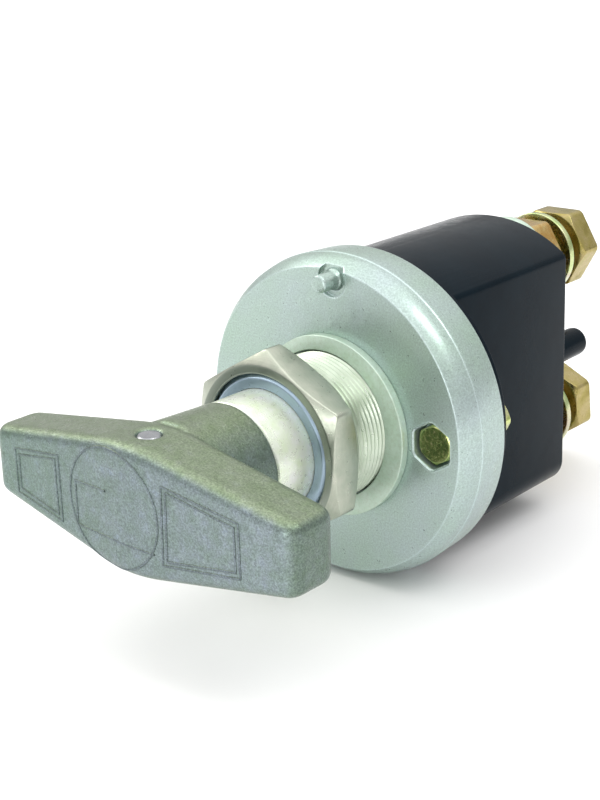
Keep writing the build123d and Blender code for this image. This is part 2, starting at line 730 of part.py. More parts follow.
def contact_bridge():
    """Copper bar that joins the two fixed contacts when it reaches them."""
    outline = RectangleRounded(2 * BRIDGE_HALF_WIDTH, 2 * BRIDGE_HALF_LENGTH, 4) + Circle(BRIDGE_CENTRE_R)
    bridge = prism(outline - Circle(BRIDGE_HOLE_R), BRIDGE_FRONT_Y, BRIDGE_REAR_Y)
    for side in (-1, 1):
        bridge -= bridge_screw(side)
    return bridge


def bridge_screw(side):
    """Countersunk screw from the back of the bridge into a carrier post."""
    sink = BRIDGE_SCREW_HEAD_R - BRIDGE_SCREW_R
    return turned(
        [
            (0, BRIDGE_FRONT_Y - 7),
            (BRIDGE_SCREW_R, BRIDGE_FRONT_Y - 7),
            (BRIDGE_SCREW_R, BRIDGE_REAR_Y - sink),
            (BRIDGE_SCREW_HEAD_R, BRIDGE_REAR_Y),
            (0, BRIDGE_REAR_Y),
        ],
        0,
        side * CARRIER_POST_Z,
    )


def bridge_screws():
    return as_group([bridge_screw(side) for side in (-1, 1)])


def contact_tip(y_front, y_rear, side, domed_front):
    """Silver tip with one edge eased on its working side."""
    ease = 0.4
    near, far = (y_front, y_rear) if domed_front else (y_rear, y_front)
    step = ease if domed_front else -ease
    return turned(
        [(0, near), (TIP_R - ease, near), (TIP_R, near + step), (TIP_R, far), (0, far)], 0, side * STUD_Z
    )


def moving_contact_tips():
    rear = BRIDGE_REAR_Y + MOVING_TIP_THICK
    return as_group([contact_tip(BRIDGE_REAR_Y, rear, side, False) for side in (-1, 1)])


def fixed_contact_tips():
    return as_group(
        [contact_tip(FIXED_TIP_FRONT_Y, FIXED_HEAD_FRONT_Y, side, True) for side in (-1, 1)]
    )


# ---------------------------------------------------------------- terminals
def terminal_stud(side):
    """Stud with its contact head inside the housing and a threaded shank behind it."""
    thread = thread_points(
        STUD_R, STUD_THREAD_DEPTH, STUD_THREAD_PITCH, STUD_THREAD_START_Y, STUD_THREAD_TURNS
    )
    return turned(
        [
            (0, FIXED_HEAD_FRONT_Y),
            (STUD_HEAD_R, FIXED_HEAD_FRONT_Y),
            (STUD_HEAD_R, CAVITY_REAR_Y),
            (STUD_R, CAVITY_REAR_Y),
            *thread,
            (STUD_R, STUD_END_Y - 1),
            (STUD_R - 1, STUD_END_Y),
            (0, STUD_END_Y),
        ],
        0,
        side * STUD_Z,
    )


def terminal_base_washers():
    rear = BASE_WASHER_FRONT_Y + BASE_WASHER_THICK
    return as_group(
        [
            ring(STUD_R + 0.4, BASE_WASHER_R, BASE_WASHER_FRONT_Y, rear, 0, side * STUD_Z)
            for side in (-1, 1)
        ]
    )


def stud_nut(y_front, thickness, side):
    corner = LOWER_NUT_CORNER if side < 0 else 0
    y_rear = y_front + thickness
    return nut(
        STUD_NUT_AF, STUD_NUT_BORE_R, y_front, y_rear, 0, side * STUD_Z, corner, STUD_NUT_AF / 2 - 0.4
    )


def spring_washer(side):
    """Split washer hanging on its stud."""
    hang = STUD_R - SPRING_WASHER_BORE_R + 0.05
    rear = SPRING_WASHER_FRONT_Y + SPRING_WASHER_THICK
    z = side * STUD_Z + hang
    body = ring(SPRING_WASHER_BORE_R, SPRING_WASHER_R, SPRING_WASHER_FRONT_Y, rear, 0, z)
    slit = Box(SPRING_WASHER_R, 2 * SPRING_WASHER_THICK, SPRING_WASHER_SLIT)
    middle = SPRING_WASHER_FRONT_Y + SPRING_WASHER_THICK / 2
    return body - Pos(-SPRING_WASHER_R, middle, z) * Rot(0, 0, 20) * slit


def build_nodes():
    """Every node's name and solid."""
    sides = (1, -1)
    return {
        "t_handle": t_handle(),
        "handle_cross_pin": handle_cross_pin(),
        "drive_shaft": drive_shaft(),
        "shaft_seal_ring": shaft_seal_ring(),
        "shaft_retaining_ring": shaft_retaining_ring(),
        "thrust_washer": thrust_washer(),
        "detent_balls": detent_balls(),
        "detent_springs": detent_springs(),
        "stop_pin": stop_pin(),
        "threaded_bush": threaded_bush(),
        "mounting_flange": mounting_flange(),
        "locating_pin": locating_pin(),
        "clamp_nut": clamp_nut(),
        "panel_washer": panel_washer(),
        "flange_bolts": flange_bolts(),
        "flange_bolt_washers": flange_bolt_washers(),
        "flange_bolt_nuts": flange_bolt_nuts(),
        "housing_gasket": housing_gasket(),
        "switch_housing": switch_housing(),
        "drive_cam": drive_cam(),
        "cam_retaining_washer": cam_retaining_washer(),
        "cam_retaining_screw": cam_retaining_screw(),
        "contact_carrier": contact_carrier(),
        "guide_rods": guide_rods(),
        "return_spring": return_spring(),
        "contact_bridge": contact_bridge(),
        "bridge_screws": bridge_screws(),
        "moving_contact_tips": moving_contact_tips(),
        "fixed_contact_tips": fixed_contact_tips(),
        "upper_terminal_stud": terminal_stud(1),
        "lower_terminal_stud": terminal_stud(-1),
        "terminal_base_washers": terminal_base_washers(),
        "terminal_jam_nuts": as_group([stud_nut(JAM_NUT_FRONT_Y, JAM_NUT_THICK, s) for s in sides]),
        "terminal_spring_washers": as_group([spring_washer(s) for s in sides]),
        "terminal_nuts": as_group([stud_nut(OUTER_NUT_FRONT_Y, OUTER_NUT_THICK, s) for s in sides]),
    }


os.makedirs("parts", exist_ok=True)
for node_name, solid in build_nodes().items():
    export_step(solid, f"parts/{node_name}.step")
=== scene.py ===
"""Looks for the battery master switch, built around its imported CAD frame.

Sizes are in millimetres in the CAD's frame and turned into metres when a mesh is made.
Round and hexagonal pieces are made by add_polar(), which sweeps a profile of (radius, y)
about a line along Y, and lets the profile change with the angle.
"""
import json
import math

import bmesh
import bpy
import numpy as np
from mathutils import Matrix, Vector
from mathutils.bvhtree import BVHTree


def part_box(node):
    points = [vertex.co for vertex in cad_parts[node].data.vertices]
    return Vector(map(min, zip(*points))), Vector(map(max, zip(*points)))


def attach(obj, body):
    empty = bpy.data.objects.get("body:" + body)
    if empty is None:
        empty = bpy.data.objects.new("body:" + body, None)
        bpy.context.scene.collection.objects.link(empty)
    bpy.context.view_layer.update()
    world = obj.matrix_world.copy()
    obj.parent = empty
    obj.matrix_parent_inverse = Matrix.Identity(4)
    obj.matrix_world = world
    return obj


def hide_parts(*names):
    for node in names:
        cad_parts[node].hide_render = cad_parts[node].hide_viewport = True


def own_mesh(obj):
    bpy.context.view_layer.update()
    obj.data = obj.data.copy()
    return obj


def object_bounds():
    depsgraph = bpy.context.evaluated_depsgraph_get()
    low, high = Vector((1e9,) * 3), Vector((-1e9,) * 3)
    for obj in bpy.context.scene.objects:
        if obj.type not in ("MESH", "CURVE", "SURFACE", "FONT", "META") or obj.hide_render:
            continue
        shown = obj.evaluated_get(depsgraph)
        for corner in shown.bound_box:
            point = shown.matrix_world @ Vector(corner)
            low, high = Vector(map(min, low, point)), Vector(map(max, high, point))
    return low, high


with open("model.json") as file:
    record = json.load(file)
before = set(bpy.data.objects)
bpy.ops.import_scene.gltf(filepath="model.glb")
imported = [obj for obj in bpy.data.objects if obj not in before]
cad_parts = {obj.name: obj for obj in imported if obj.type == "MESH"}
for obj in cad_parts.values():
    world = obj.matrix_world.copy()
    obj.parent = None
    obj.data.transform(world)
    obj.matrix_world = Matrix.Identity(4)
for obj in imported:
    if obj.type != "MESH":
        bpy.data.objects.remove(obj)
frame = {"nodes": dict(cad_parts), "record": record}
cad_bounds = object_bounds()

MM = 0.001
SHARP_ANGLE = math.radians(28)
SEGMENTS = 192
NUT_SLOPE = math.tan(math.radians(30))
# Distances in millimetres under which vertices are merged and edges collapsed.
WELD_MM = 1e-3
COLLAPSE_MM = 1e-4


# ---------------------------------------------------------------- frame sizes
def low(node):
    """Lowest corner of a CAD node in millimetres."""
    return [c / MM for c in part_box(node)[0]]


def high(node):
    """Highest corner of a CAD node in millimetres."""
    return [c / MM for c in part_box(node)[1]]


def span_y(node):
    """Front and rear of a CAD node."""
    return low(node)[1], high(node)[1]


def centre(node):
    """Middle of a CAD node across the switch's axis, as (x, z)."""
    return (low(node)[0] + high(node)[0]) / 2, (low(node)[2] + high(node)[2]) / 2


def half_width(node):
    return (high(node)[0] - low(node)[0]) / 2


# ---------------------------------------------------------------- mesh helpers
def finish_mesh(name, bm, material, body, replaced=(), sharp=SHARP_ANGLE):
    """Clean a bmesh, make its object, and tie it to the frame."""
    bmesh.ops.remove_doubles(bm, verts=bm.verts, dist=WELD_MM)
    bmesh.ops.dissolve_degenerate(bm, edges=bm.edges, dist=COLLAPSE_MM)
    bmesh.ops.recalc_face_normals(bm, faces=bm.faces)
    for face in bm.faces:
        face.smooth = True
    for edge in bm.edges:
        if len(edge.link_faces) == 2:
            edge.smooth = edge.calc_face_angle() < sharp
    bmesh.ops.scale(bm, vec=(MM, MM, MM), verts=bm.verts)
    mesh = bpy.data.meshes.new(name)
    bm.to_mesh(mesh)
    bm.free()
    mesh.materials.append(material)
    piece = bpy.data.objects.new(name, mesh)
    bpy.context.scene.collection.objects.link(piece)
    if body:
        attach(piece, body)
    if replaced:
        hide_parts(*replaced)
    return piece


def eased(points, radius, closed=True):
    """Round a profile's corners, each with a short curve that starts up to radius away."""
    result = []
    count = len(points)
    for i, point in enumerate(points):
        if not closed and i in (0, count - 1):
            result.append(point)
            continue
        here = Vector(point)
        before = Vector(points[i - 1]) - here
        after = Vector(points[(i + 1) % count]) - here
        reach_in = min(radius, before.length * 0.4)
        reach_out = min(radius, after.length * 0.4)
        start = here + before.normalized() * reach_in
        end = here + after.normalized() * reach_out
        for t in (0.0, 0.3, 0.7, 1.0):
            curve = start * (1 - t) ** 2 + here * (2 * t * (1 - t)) + end * t ** 2
            result.append((curve.x, curve.y))
    return result


def add_polar(bm, rows, angles, x=0.0, z=0.0, closed=True, capped=False):
    """Sweep rows(angle), a list of (radius, y), through the angles and skin it."""
    rings = []
    for angle in angles:
        cos, sin = math.cos(angle), math.sin(angle)
        rings.append([bm.verts.new((x + r * cos, y, z + r * sin)) for r, y in rows(angle)])
    count = len(rings[0])
    last = count if closed else count - 1
    for near, far in zip(rings, rings[1:]):
        for k in range(last):
            n = (k + 1) % count
            bm.faces.new((near[k], near[n], far[n], far[k]))
    if capped:
        bm.faces.new(rings[0])
        bm.faces.new(list(reversed(rings[-1])))


def full_turn(segments=SEGMENTS):
    return [2 * math.pi * i / segments for i in range(segments + 1)]


def hex_angles(first_corner):
    """Angles round a hexagon, closer together near its corners."""
    steps = (-30, -29.2, -28, -25, -20, -14, -7, 0, 7, 14, 20, 25, 28, 29.2)
    turns = [first_corner + 30 + 60 * flat + s for flat in range(6) for s in steps]
    return [math.radians(t) for t in turns + [turns[0] + 360]]


def hex_radius(angle, first_corner, across_flats, corner_cut=0.25):
    """Distance from a hexagon's centre to its edge, with its corners turned off."""
    off = (math.degrees(angle) - first_corner) % 60 - 30
    return min(across_flats / 2 / math.cos(math.radians(off)), across_flats / math.sqrt(3) - corner_cut)


def add_nut(
    bm, across_flats, bore_r, y0, y1, x, z, first_corner, face_r, ease=0.25, bore_cut=0.7, rear_r=None
):
    """Hexagon nut, countersunk at both ends, with 30 degree chamfers out from face_r and rear_r."""
    rear_r = rear_r or face_r

    def rows(angle):
        edge = hex_radius(angle, first_corner, across_flats)
        drop = max(edge - face_r, 0.05) * NUT_SLOPE
        rear_drop = max(edge - rear_r, 0.05) * NUT_SLOPE
        outline = [
            (bore_r, y0 + bore_cut), (bore_r + bore_cut, y0), (min(face_r, edge - 0.05), y0),
            (edge, y0 + drop), (edge, y1 - rear_drop),
            (min(rear_r, edge - 0.05), y1), (bore_r + bore_cut, y1), (bore_r, y1 - bore_cut),
        ]
        return eased(outline, ease)
    add_polar(bm, rows, hex_angles(first_corner), x, z)


def add_lathe(bm, points, x=0.0, z=0.0, ease=0.2, closed=True):
    profile = eased(points, ease, closed) if ease else points
    add_polar(bm, lambda angle: profile, full_turn(), x, z, closed)


def helix_rows(radius, depth, pitch, y0, y1, before=(), after=(), fade=0.8):
    """Profile of a right-handed threaded shank, whose ridges fade out at both ends.

    Angles run from +X towards +Z, which is a negative turn about +Y, so y falls as they rise.
    """
    shape = ((0.0, 0.0), (0.12, 0.0), (0.3, 0.55), (0.48, 1.0), (0.6, 1.0), (0.78, 0.55))
    turns = int((y1 - y0) / pitch) + 3

    def rows(angle):
        shift = pitch * (1 - angle / (2 * math.pi))
        profile = list(before)
        for turn in range(-1, turns):
            for phase, cut in shape:
                y = y0 + pitch * (turn - 1 + phase) + shift
                limited = min(max(y, y0), y1)
                room = min(limited - y0, y1 - limited) / (fade * pitch)
                profile.append((radius - depth * cut * min(1.0, max(0.0, room)), limited))
        return profile + list(after)
    return rows


def mesh_from_outlines(bm, outlines):
    """Skin closed outlines of equal length, each a list of (x, y, z), with caps."""
    rings = [[bm.verts.new(p) for p in outline] for outline in outlines]
    count = len(rings[0])
    for near, far in zip(rings, rings[1:]):
        for k in range(count):
            n = (k + 1) % count
            bm.faces.new((near[k], near[n], far[n], far[k]))
    bm.faces.new(rings[0])
    bm.faces.new(list(reversed(rings[-1])))


def loose_object(name, bm):
    """A helper object that is only used in a boolean."""
    bmesh.ops.remove_doubles(bm, verts=bm.verts, dist=WELD_MM)
    bmesh.ops.recalc_face_normals(bm, faces=bm.faces)
    mesh = bpy.data.meshes.new(name)
    bm.to_mesh(mesh)
    bm.free()
    helper = bpy.data.objects.new(name, mesh)
    bpy.context.scene.collection.objects.link(helper)
    return helper


def combined(bm, operations):
    """Apply (operation, bmesh) pairs to a bmesh and return the result as a new bmesh."""
    base = loose_object("base", bm)
    helpers = []
    for operation, other in operations:
        helper = loose_object("helper", other)
        helpers.append(helper)
        modifier = base.modifiers.new(operation, "BOOLEAN")
        modifier.operation = operation
        modifier.solver = "EXACT"
        modifier.object = helper
    bpy.context.view_layer.update()
    depsgraph = bpy.context.evaluated_depsgraph_get()
    result = bmesh.new()
    result.from_mesh(base.evaluated_get(depsgraph).to_mesh())
    for helper in helpers + [base]:
        bpy.data.objects.remove(helper)
    return result


def rod_bm(radius, y0, y1, x=0.0, z=0.0, segments=96):
    bm = bmesh.new()
    profile = [(0, y0), (radius, y0), (radius, y1), (0, y1)]
    add_polar(bm, lambda angle: profile, full_turn(segments), x, z, closed=False)
    return bm


def hex_rod_bm(across_flats, y0, y1, x, z, first_corner, flare):
    """Hexagon prism that widens by flare where it passes y = 0."""
    bm = bmesh.new()
    angles = hex_angles(first_corner)

    def rows(angle):
        edge = hex_radius(angle, first_corner, across_flats, 0.35)
        return [(0, y0), (edge + flare, y0), (edge + flare, 0), (edge, flare), (edge, y1), (0, y1)]
    add_polar(bm, rows, angles, x, z, closed=False)
    return bm


# ---------------------------------------------------------------- materials
# Half the width over which one colour gives way to another.
BLUR_MM = 0.1
BEVEL_SAMPLES = 6


class Nodes:
    """Short way to build one node material."""

    def __init__(self, name):
        self.material = bpy.data.materials.new(name)
        self.material.use_nodes = True
        self.tree = self.material.node_tree
        self.shader = self.tree.nodes["Principled BSDF"]
        coordinates = self.add("ShaderNodeTexCoord")
        self.place = coordinates.outputs["Object"]

    def add(self, kind, **settings):
        node = self.tree.nodes.new(kind)
        for key, value in settings.items():
            setattr(node, key, value)
        return node

    def link(self, source, target):
        self.tree.links.new(source, target)

    def stretched(self, factors):
        mapping = self.add("ShaderNodeMapping")
        mapping.inputs["Scale"].default_value = factors
        self.link(self.place, mapping.inputs["Vector"])
        return mapping.outputs["Vector"]

    def noise(self, per_mm, detail=4.0, roughness=0.55, vector=None, distortion=0.0):
        node = self.add("ShaderNodeTexNoise")
        node.inputs["Scale"].default_value = per_mm / MM
        node.inputs["Detail"].default_value = detail
        node.inputs["Roughness"].default_value = roughness
        node.inputs["Distortion"].default_value = distortion
        self.link(vector or self.place, node.inputs["Vector"])
        return node.outputs["Fac"]

    def ramp(self, source, stops):
        node = self.add("ShaderNodeValToRGB")
        elements = node.color_ramp.elements
        while len(elements) < len(stops):
            elements.new(0.5)
        for element, (position, colour) in zip(elements, stops):
            element.position = position
            element.color = (*colour, 1) if len(colour) == 3 else colour
        self.link(source, node.inputs["Fac"])
        return node.outputs["Color"]

    def span(self, source, low_out, high_out, low_in=0.3, high_in=0.7):
        node = self.add("ShaderNodeMapRange")
        limits = {"From Min": low_in, "From Max": high_in, "To Min": low_out, "To Max": high_out}
        for name, value in limits.items():
            node.inputs[name].default_value = value
        self.link(source, node.inputs["Value"])
        return node.outputs["Result"]

    def mix(self, factor, first, second, blend="MIX"):
        node = self.add("ShaderNodeMix", data_type="RGBA", blend_type=blend)
        colour_inputs = [s for s in node.inputs if s.type == "RGBA"]
        self.set(node.inputs[0], factor)
        self.set(colour_inputs[0], first)
        self.set(colour_inputs[1], second)
        return [s for s in node.outputs if s.type == "RGBA"][0]

    def set(self, socket, value):
        if hasattr(value, "links"):
            self.link(value, socket)
        elif isinstance(value, (tuple, list)) and socket.type == "RGBA" and len(value) == 3:
            socket.default_value = (*value, 1)
        else:
            socket.default_value = value

    def facing(self, axis, none_at, full_at):
        """0 to 1 as the surface normal's part along an axis goes from none_at to full_at."""
        coordinates = self.add("ShaderNodeTexCoord")
        split = self.add("ShaderNodeSeparateXYZ")
        self.link(coordinates.outputs["Normal"], split.inputs["Vector"])
        if full_at < none_at:
            return self.span(split.outputs[axis], 1.0, 0.0, full_at, none_at)
        return self.span(split.outputs[axis], 0.0, 1.0, none_at, full_at)

    def facing_front(self):
        """1 where the surface faces the handle's side of the object squarely, else 0."""
        return self.facing("Y", -0.9, -0.98)

    def along(self, axis, low_out, high_out, from_mm, to_mm):
        """low_out to high_out as the place on an axis goes from from_mm to to_mm."""
        split = self.add("ShaderNodeSeparateXYZ")
        self.link(self.place, split.inputs["Vector"])
        return self.span(split.outputs[axis], low_out, high_out, from_mm * MM, to_mm * MM)

    def in_front_of(self, y_mm):
        """1 on the handle's side of the plane y = y_mm, else 0."""
        return self.along("Y", 1.0, 0.0, y_mm - BLUR_MM, y_mm + BLUR_MM)

    def near_axis(self, radius_mm):
        """1 nearer to the switch's axis than radius_mm, else 0."""
        flat = self.add("ShaderNodeVectorMath", operation="MULTIPLY")
        self.link(self.place, flat.inputs[0])
        flat.inputs[1].default_value = (1.0, 0.0, 1.0)
        length = self.add("ShaderNodeVectorMath", operation="LENGTH")
        self.link(flat.outputs[0], length.inputs[0])
        inside, outside = (radius_mm - BLUR_MM) * MM, (radius_mm + BLUR_MM) * MM
        return self.span(length.outputs["Value"], 1.0, 0.0, inside, outside)

    def edges(self, radius_mm):
        """Where the surface turns sharply: 0 on open faces, up to 1 along edges."""
        bevel = self.add("ShaderNodeBevel", samples=BEVEL_SAMPLES)
        bevel.inputs["Radius"].default_value = radius_mm * MM
        geometry = self.add("ShaderNodeNewGeometry")
        dot = self.add("ShaderNodeVectorMath", operation="DOT_PRODUCT")
        self.link(bevel.outputs["Normal"], dot.inputs[0])
        self.link(geometry.outputs["Normal"], dot.inputs[1])
        return self.span(dot.outputs["Value"], 1.0, 0.0, 0.9, 0.999)

    def bump(self, layers, edge_mm=0.0):
        """Stack (height source, depth in mm) layers over an optional eased-edge normal."""
        normal = None
        if edge_mm:
            bevel = self.add("ShaderNodeBevel", samples=BEVEL_SAMPLES)
            bevel.inputs["Radius"].default_value = edge_mm * MM
            normal = bevel.outputs["Normal"]
        for source, depth_mm in layers:
            node = self.add("ShaderNodeBump")
            node.inputs["Strength"].default_value = 1.0
            node.inputs["Distance"].default_value = depth_mm * MM
            self.link(source, node.inputs["Height"])
            if normal:
                self.link(normal, node.inputs["Normal"])
            normal = node.outputs["Normal"]
        if normal:
            self.link(normal, self.shader.inputs["Normal"])

    def values(self, **inputs):
        for name, value in inputs.items():
            self.set(self.shader.inputs[name.replace("_", " ")], value)


def cast_metal(
    name, tones, rough=(0.38, 0.6), grain_mm=0.05, mottle=0.12, edge_gain=0.35, pit_mm=0.3, metallic=0.6,
    sparkle=0.2, highlight_gain=1.6, painted_light=(),
):
    """Die-cast zinc: drifting tints, fine pitted skin, and a painted highlight that brightens its edges.

    The faces that look along an axis get painted highlight and shade, as (axis, none_at, full_at, colour).
    A list of colours in place of one runs along x, from one of HANDLE_X to the other.
    edge_gain is how much of the edges gets a painted highlight, and the brightening gain how much brighter
    it is.
    """
    n = Nodes(name)
    cloud = n.noise(mottle, 6.0, 0.62)
    fine = n.noise(2.2, 3.0, 0.6)
    places = (0.32, 0.46, 0.6, 0.72)
    base = n.ramp(cloud, list(zip(places, tones)))
    speck = n.ramp(fine, [(0.38, (1 - sparkle,) * 3), (0.66, (1 + sparkle,) * 3)])
    base = n.mix(0.8, base, speck, "MULTIPLY")
    # Painted highlight and shade: faces are tinted by the way they look along an axis.
    for axis, none_at, full_at, colour in painted_light:
        if isinstance(colour, list):
            stops = [(k / (len(colour) - 1), c) for k, c in enumerate(colour)]
            colour = n.ramp(n.along("X", 0.0, 1.0, *HANDLE_X), stops)
        base = n.mix(n.facing(axis, none_at, full_at), base, colour, "MULTIPLY")
    # Painted highlight along the edges: they are mixed towards a brighter tone.
    edge_highlight = n.edges(0.9)
    bright = tuple(min(1.0, c * highlight_gain) for c in tones[-1])
    factor = n.add("ShaderNodeMath", operation="MULTIPLY")
    n.link(edge_highlight, factor.inputs[0])
    factor.inputs[1].default_value = edge_gain
    n.values(Base_Color=n.mix(factor.outputs[0], base, bright), Metallic=metallic)
    n.link(n.span(n.noise(0.5, 4.0, 0.6), rough[0], rough[1]), n.shader.inputs["Roughness"])
    n.bump([(n.noise(0.16, 3.0, 0.5), pit_mm), (n.noise(1.5, 4.0, 0.65), grain_mm)], 0.5)
    return n.material


def turned_metal(
    name, dark, light, rough=(0.22, 0.36), groove_mm=0.012, edge_mm=0.25, per_mm=0.25, front=None,
    front_to=0.0, painted_reflection=None, core_r=0.0, metallic=1.0,
):
    """Turned or plated metal: fine tool marks round the axis, slight colour drift.

    front is the colour in front of the plane y = front_to, a painted reflection; the colour nearer to the
    axis than core_r is a painted dark reflection.
    """
    n = Nodes(name)
    marks = n.noise(1.6, 3.0, 0.6, n.stretched((0.15, 6.0, 0.15)))
    cloud = n.noise(per_mm, 4.0, 0.6)
    base = n.ramp(cloud, [(0.32, dark), (0.68, light)])
    tint = n.ramp(marks, [(0.35, (0.92, 0.92, 0.92)), (0.65, (1.06, 1.06, 1.06))])
    base = n.mix(0.7, base, tint, "MULTIPLY")
    # Painted dark reflection on the surfaces nearer to the axis than core_r.
    if painted_reflection:
        base = n.mix(n.near_axis(core_r), base, painted_reflection)
    # Painted reflection: a darker, bluer colour in front of the plane y = front_to.
    if front:
        base = n.mix(n.in_front_of(front_to), base, front)
    n.values(Base_Color=base, Metallic=metallic)
    n.link(n.span(n.noise(0.6, 4.0, 0.6), rough[0], rough[1]), n.shader.inputs["Roughness"])
    n.bump([(marks, groove_mm), (n.noise(3.0, 2.0, 0.5), groove_mm * 0.5)], edge_mm)
    return n.material


def plated_metal(
    name, stops, rough=(0.2, 0.34), per_mm=0.3, grain_mm=0.01, edge_mm=0.2, front=None, metallic=1.0
):
    """Passivated or plain milled metal with a drifting tint given by colour stops."""
    n = Nodes(name)
    drift = n.noise(per_mm, 3.0, 0.5, distortion=0.4)
    base = n.ramp(drift, stops)
    if front:
        # Painted dark reflection on the faces that look squarely to the handle's side.
        base = n.mix(n.facing_front(), base, n.ramp(n.noise(1.1, 4.0, 0.7), front))
    grime = n.ramp(n.noise(1.4, 5.0, 0.7), [(0.3, (0.8, 0.78, 0.72)), (0.55, (1.0, 1.0, 1.0))])
    n.values(Base_Color=n.mix(0.7, base, grime, "MULTIPLY"), Metallic=metallic)
    n.link(n.span(n.noise(0.9, 4.0, 0.6), rough[0], rough[1]), n.shader.inputs["Roughness"])
    n.bump([(n.noise(0.5, 3.0, 0.5), grain_mm * 2), (n.noise(3.5, 3.0, 0.6), grain_mm)], edge_mm)
    return n.material


def moulding(name, dark, light, rough=(0.22, 0.36), grain_mm=0.012, edge_mm=0.4, specular=0.5):
    """Moulded plastic or rubber: even colour with a faint cloud, fine skin."""
    n = Nodes(name)
    base = n.ramp(n.noise(0.08, 4.0, 0.6), [(0.3, dark), (0.7, light)])
    n.values(Base_Color=base, Metallic=0.0, Specular_IOR_Level=specular)
    n.link(n.span(n.noise(0.35, 5.0, 0.65), rough[0], rough[1]), n.shader.inputs["Roughness"])
    n.bump([(n.noise(0.07, 2.0, 0.5), 0.12), (n.noise(2.2, 3.0, 0.6), grain_mm)], edge_mm)
    return n.material


CLAMP_NUT_FACE_R = 22.5
BUSH_CHAMFER = 1.1

# Painted light on the cast handle: a bluer painted reflection on its front that brightens towards +x,
# a yellower painted highlight on top and painted shade on its ends.
HANDLE_X = (-45, 45)
HANDLE_PAINTED_LIGHT = (
    ("Y", -0.6, -0.95, [(0.90, 0.97, 1.05), (1.05, 1.02, 1.25), (1.23, 1.16, 1.46)]),
    ("Z", 0.5, 0.9, (1.19, 1.13, 0.92)),
    ("X", 0.5, 0.9, (0.77, 0.79, 0.81)),
)

MATERIALS = {
    "handle_zinc": cast_metal(
        "handle_zinc",
        ((0.150, 0.205, 0.150), (0.170, 0.225, 0.178), (0.185, 0.235, 0.200), (0.205, 0.26, 0.245)),
        rough=(0.24, 0.42), grain_mm=0.13, mottle=0.3, edge_gain=0.6, metallic=0.8, sparkle=0.32,
        highlight_gain=2.4, painted_light=HANDLE_PAINTED_LIGHT,
    ),
    "handle_lines": cast_metal(
        "handle_lines",
        ((0.125, 0.165, 0.135), (0.14, 0.18, 0.155), (0.15, 0.19, 0.17), (0.165, 0.205, 0.19)),
        rough=(0.3, 0.5), mottle=0.3, edge_gain=0.0, metallic=0.8, sparkle=0.42, painted_light=HANDLE_PAINTED_LIGHT,
    ),
    "flange_zinc": cast_metal(
        "flange_zinc",
        ((0.37, 0.49, 0.41), (0.39, 0.49, 0.445), (0.405, 0.49, 0.48), (0.43, 0.505, 0.515)),
        rough=(0.26, 0.38), grain_mm=0.008, mottle=0.03, edge_gain=0.6, pit_mm=0.12, metallic=0.7,
    ),
    "shaft_zinc": turned_metal(
        "shaft_zinc", (0.68, 0.77, 0.58), (0.78, 0.80, 0.76), (0.24, 0.36), metallic=0.5
    ),
    "bush_steel": turned_metal(
        "bush_steel", (0.52, 0.60, 0.48), (0.62, 0.69, 0.58), (0.26, 0.38),
        # front is a painted reflection: the collar's front end darker and bluer
        front=(0.31, 0.40, 0.48), front_to=low("threaded_bush")[1] + BUSH_CHAMFER + BLUR_MM,
    ),
    "nickel_nut": turned_metal(
        "nickel_nut", (0.38, 0.42, 0.34), (0.48, 0.50, 0.42), (0.26, 0.38),
        # painted dark reflection on the nut's front face, inside its chamfer
        painted_reflection=(0.24, 0.27, 0.23), core_r=CLAMP_NUT_FACE_R,
    ),
    "zinc_washer": plated_metal(
        "zinc_washer", [(0.3, (0.52, 0.66, 0.54)), (0.7, (0.60, 0.72, 0.63))], (0.32, 0.44), metallic=0.45
    ),
    "yellow_zinc": plated_metal(
        "yellow_zinc",
        [
            (0.28, (0.30, 0.42, 0.12)), (0.45, (0.60, 0.66, 0.26)),
            (0.6, (0.70, 0.70, 0.40)), (0.75, (0.45, 0.62, 0.36)),
        ],
        (0.16, 0.3), 0.35,
        # front: painted dark reflection on the bolt heads' faces, with lighter flecks of marking
        front=[(0.4, (0.18, 0.24, 0.09)), (0.56, (0.32, 0.36, 0.14)), (0.66, (0.72, 0.62, 0.36))],
    ),
    "hard_steel": turned_metal("hard_steel", (0.15, 0.19, 0.16), (0.21, 0.25, 0.21)),
    "spring_steel": turned_metal("spring_steel", (0.3, 0.31, 0.33), (0.42, 0.43, 0.45)),
    "black_moulding": moulding(
        "black_moulding", (0.003, 0.007, 0.011), (0.004, 0.010, 0.015), (0.16, 0.26), 0.005, 0.4, 0.04
    ),
    "carrier_nylon": moulding("carrier_nylon", (0.7, 0.68, 0.6), (0.82, 0.8, 0.73), (0.4, 0.55)),
    "gasket_rubber": moulding("gasket_rubber", (0.02, 0.02, 0.02), (0.04, 0.04, 0.04), (0.5, 0.7)),
    "bridge_copper": plated_metal("bridge_copper", [(0.3, (0.7, 0.33, 0.2)), (0.7, (0.84, 0.45, 0.3))]),
    "contact_silver": plated_metal("contact_silver", [(0.3, (0.75, 0.75, 0.72)), (0.7, (0.86, 0.86, 0.84))]),
    "stud_brass": turned_metal("stud_brass", (0.42, 0.33, 0.10), (0.56, 0.44, 0.18)),
    "jam_nut_brass": plated_metal(
        "jam_nut_brass", [(0.3, (0.46, 0.24, 0.05)), (0.7, (0.60, 0.46, 0.20))], (0.2, 0.32)
    ),
    "nut_brass": plated_metal(
        "nut_brass",
        [
            (0.3, (0.26, 0.21, 0.05)), (0.45, (0.37, 0.31, 0.10)),
            (0.6, (0.44, 0.36, 0.17)), (0.72, (0.38, 0.35, 0.12)),
        ],
        (0.24, 0.38), 0.16,
    ),
    "spring_washer_steel": plated_metal(
        "spring_washer_steel",
        [
            (0.3, (0.36, 0.52, 0.20)), (0.45, (0.62, 0.68, 0.36)),
            (0.6, (0.58, 0.50, 0.40)), (0.72, (0.55, 0.62, 0.42)),
        ],
        (0.18, 0.3), 0.09,
    ),
}

for entry in frame["record"]["subparts"]:
    cad_node = frame["nodes"][entry["node"]]
    cad_node.data.materials.clear()
    cad_node.data.materials.append(MATERIALS[entry["material_slot"]])


